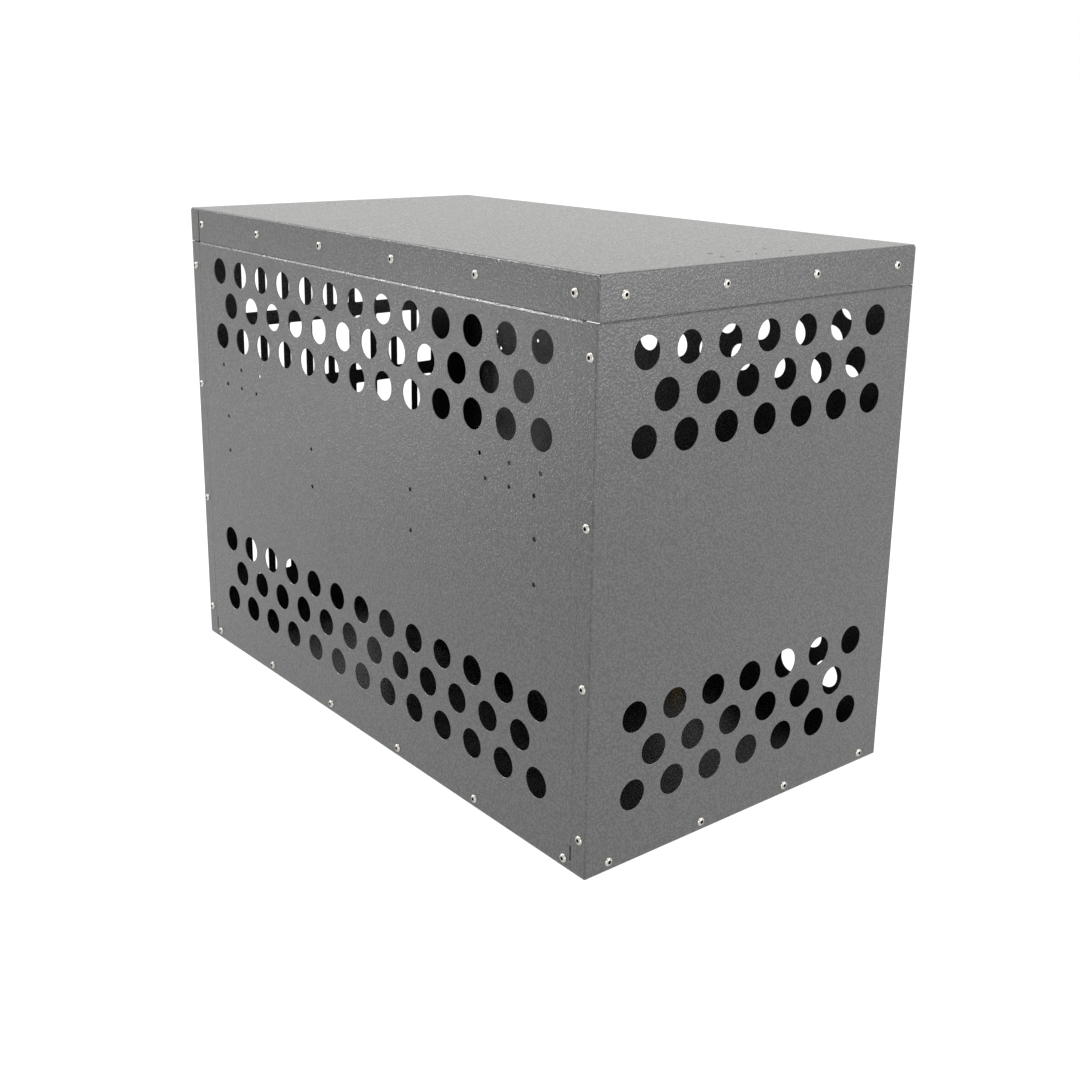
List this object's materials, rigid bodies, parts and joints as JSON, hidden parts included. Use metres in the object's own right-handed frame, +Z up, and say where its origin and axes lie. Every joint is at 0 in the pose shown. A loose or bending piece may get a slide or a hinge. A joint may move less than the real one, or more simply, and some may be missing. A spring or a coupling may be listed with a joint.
{
  "type": "home standby generator",
  "caption": "Home standby generator in a bolted sheet-steel housing with round vent holes and an end air grille; a gas engine and alternator stand inside.",
  "frame": {"origin": "middle of the housing's base, on the surface it stands on", "axes": "+Z up, +X along the long side towards the end with round vents, -Y towards the front"},
  "size_m": [0.947, 0.527, 0.69],
  "materials": {
    "hammertone": "grey hammertone powder coat, semi-gloss",
    "black_paint": "black paint, satin",
    "cast_aluminium": "sand-cast, matt",
    "cast_iron": "rough cast and machined",
    "bright_steel": "machined",
    "hot_steel": "heat-tinted steel",
    "brass": "machined",
    "black_rubber": "matt",
    "black_plastic": "moulded",
    "red_plastic": "moulded",
    "circuit_board": "solder mask"
  },
  "bodies": {
    "housing_and_set": {"base_tray": "hammertone", "front_panel": "hammertone", "back_panel": "hammertone", "left_end_panel": "hammertone", "right_end_panel": "hammertone", "roof": "hammertone", "control_box": "hammertone", "regulator_bracket": "hammertone", "front_rail": "black_paint", "rear_rail": "black_paint", "left_cross_member": "black_paint", "right_cross_member": "black_paint", "fan_shroud": "black_paint", "starter_motor": "black_paint", "muffler_support": "black_paint", "control_panel": "black_paint", "battery_hold_down": "black_paint", "crankcase": "cast_aluminium", "crankcase_cover": "cast_aluminium", "cylinder_head": "cast_aluminium", "rocker_cover": "cast_aluminium", "alternator_adapter": "cast_aluminium", "alternator_end_bracket": "cast_aluminium", "gas_mixer": "cast_aluminium", "gas_regulator": "cast_aluminium", "cylinder": "cast_iron", "stator": "cast_iron", "alternator_foot": "cast_iron", "main_bearing_left": "bright_steel", "main_bearing_right": "bright_steel", "rotor_bearing": "bright_steel", "spark_plug": "bright_steel", "button_collar": "bright_steel", "exhaust_pipe": "hot_steel", "muffler": "hot_steel", "tail_pipe": "hot_steel", "gas_valve": "brass", "gas_inlet": "brass", "rubber_mount_front_left": "black_rubber", "rubber_mount_front_right": "black_rubber", "rubber_mount_rear_left": "black_rubber", "rubber_mount_rear_right": "black_rubber", "mixer_hose": "black_rubber", "supply_hose": "black_rubber", "oil_filler_cap": "black_plastic", "air_filter_base": "black_plastic", "air_filter_cover": "black_plastic", "alternator_end_cover": "black_plastic", "conduit_gland": "black_plastic", "battery": "black_plastic", "circuit_breaker": "black_plastic", "controller_board": "circuit_board"},
    "rotating_set": {"crankshaft": "bright_steel", "flywheel": "cast_iron", "cooling_fan": "black_plastic", "rotor": "cast_iron"},
    "throttle_lever": {"throttle_lever": "bright_steel"},
    "gas_valve_handle": {"gas_valve_handle": "red_plastic"},
    "breaker_toggle": {"breaker_toggle": "red_plastic"},
    "stop_button": {"stop_button": "red_plastic"}
  },
  "joints": [
    {"name": "crankshaft_spin", "type": "hinge", "parent": "housing_and_set", "child": "rotating_set", "pos_m": [0, 0.075, 0.2], "axis": [1, 0, 0], "continuous": true},
    {"name": "throttle_lever_swing", "type": "hinge", "parent": "housing_and_set", "child": "throttle_lever", "pos_m": [-0.0745, -0.10221, 0.30503], "axis": [0, 0.4226, 0.9063], "range_deg": [0, 70], "stiffness_Nm_per_rad": 0.02, "springref_deg": -34.38},
    {"name": "gas_valve_turn", "type": "hinge", "parent": "housing_and_set", "child": "gas_valve_handle", "pos_m": [0.2475, -0.2137, 0.274], "axis": [0, 1, 0], "range_deg": [-90, 0]},
    {"name": "breaker_toggle_flip", "type": "hinge", "parent": "housing_and_set", "child": "breaker_toggle", "pos_m": [-0.32, -0.225, 0.42], "axis": [1, 0, 0], "range_deg": [0, 40]},
    {"name": "stop_button_press", "type": "slide", "parent": "housing_and_set", "child": "stop_button", "axis": [0, 0, -1], "range_m": [0, 0.004], "stiffness_N_per_m": 500, "springref_m": -0.001}
  ]
}
